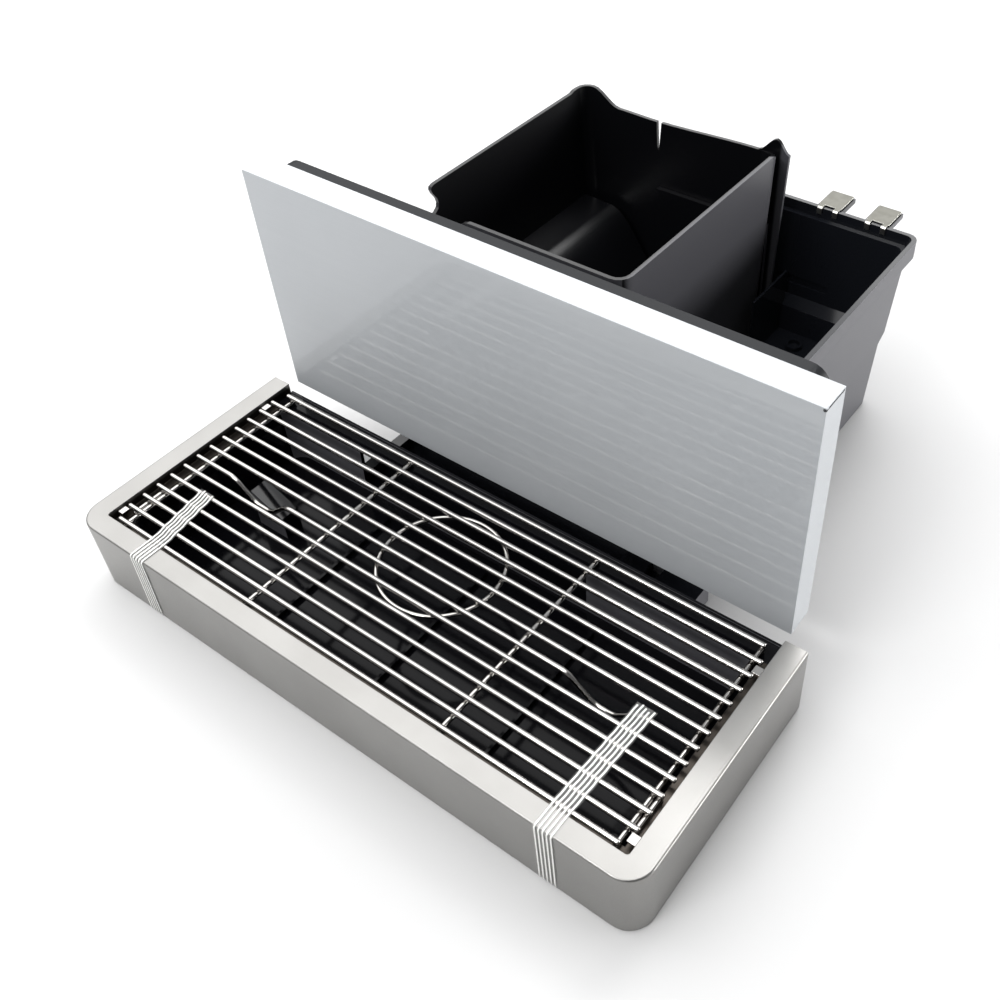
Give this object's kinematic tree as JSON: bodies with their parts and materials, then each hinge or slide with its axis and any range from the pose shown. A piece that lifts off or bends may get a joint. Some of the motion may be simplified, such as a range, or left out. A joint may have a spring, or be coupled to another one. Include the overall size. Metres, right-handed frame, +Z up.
{
  "type": "drip tray drawer",
  "caption": "Front drawer of a coffee machine: steel-framed drip basin with a lift-off wire grille, upright steel front panel, rear basin and a lift-out grounds container.",
  "frame": {"origin": "centre of the bounding box, on the surface the drawer stands on", "axes": "+X to the drawer's right seen from the front, +Y from the front to the back, +Z up"},
  "size_m": [0.35, 0.3926, 0.1789],
  "materials": {
    "satin_steel": "satin, fine grain",
    "polished_wire": "polished",
    "panel_steel": "semi-gloss, soft mirror",
    "gloss_black": "glossy moulded",
    "satin_black": "satin moulded",
    "contact_nickel": "nickel-plated sheet",
    "clear_tape": "clear film with white filaments"
  },
  "bodies": {
    "drawer": {"drip_basin": "gloss_black", "steel_frame": "satin_steel", "frame_clip_front_left": "polished_wire", "frame_clip_front_right": "polished_wire", "frame_clip_rear_left": "polished_wire", "frame_clip_rear_right": "polished_wire", "front_panel": "panel_steel", "panel_carrier": "satin_black", "carrier_screw_1": "polished_wire", "carrier_screw_2": "polished_wire", "carrier_screw_3": "polished_wire", "carrier_screw_4": "polished_wire", "sensor_contact_left": "contact_nickel", "sensor_contact_right": "contact_nickel"},
    "grille": {"grille_bar_01": "polished_wire", "grille_bar_02": "polished_wire", "grille_bar_03": "polished_wire", "grille_bar_04": "polished_wire", "grille_bar_05": "polished_wire", "grille_bar_06": "polished_wire", "grille_bar_07": "polished_wire", "grille_bar_08": "polished_wire", "grille_bar_09": "polished_wire", "grille_bar_10": "polished_wire", "grille_bar_11": "polished_wire", "grille_bar_12": "polished_wire", "grille_bar_13": "polished_wire", "grille_bar_14": "polished_wire", "cross_wire_1": "polished_wire", "cross_wire_2": "polished_wire", "cross_wire_3": "polished_wire", "cross_wire_4": "polished_wire", "cup_ring": "polished_wire", "locator_wire_left": "polished_wire", "locator_wire_right": "polished_wire", "transit_tape_left": "clear_tape", "transit_tape_right": "clear_tape"},
    "container": {"grounds_container": "satin_black"}
  },
  "joints": [
    {"name": "grille_lift", "type": "slide", "parent": "drawer", "child": "grille", "axis": [0, 0, 1], "range_m": [0, 0.08]},
    {"name": "container_lift", "type": "slide", "parent": "drawer", "child": "container", "axis": [0, 0, 1], "range_m": [0, 0.16]}
  ]
}
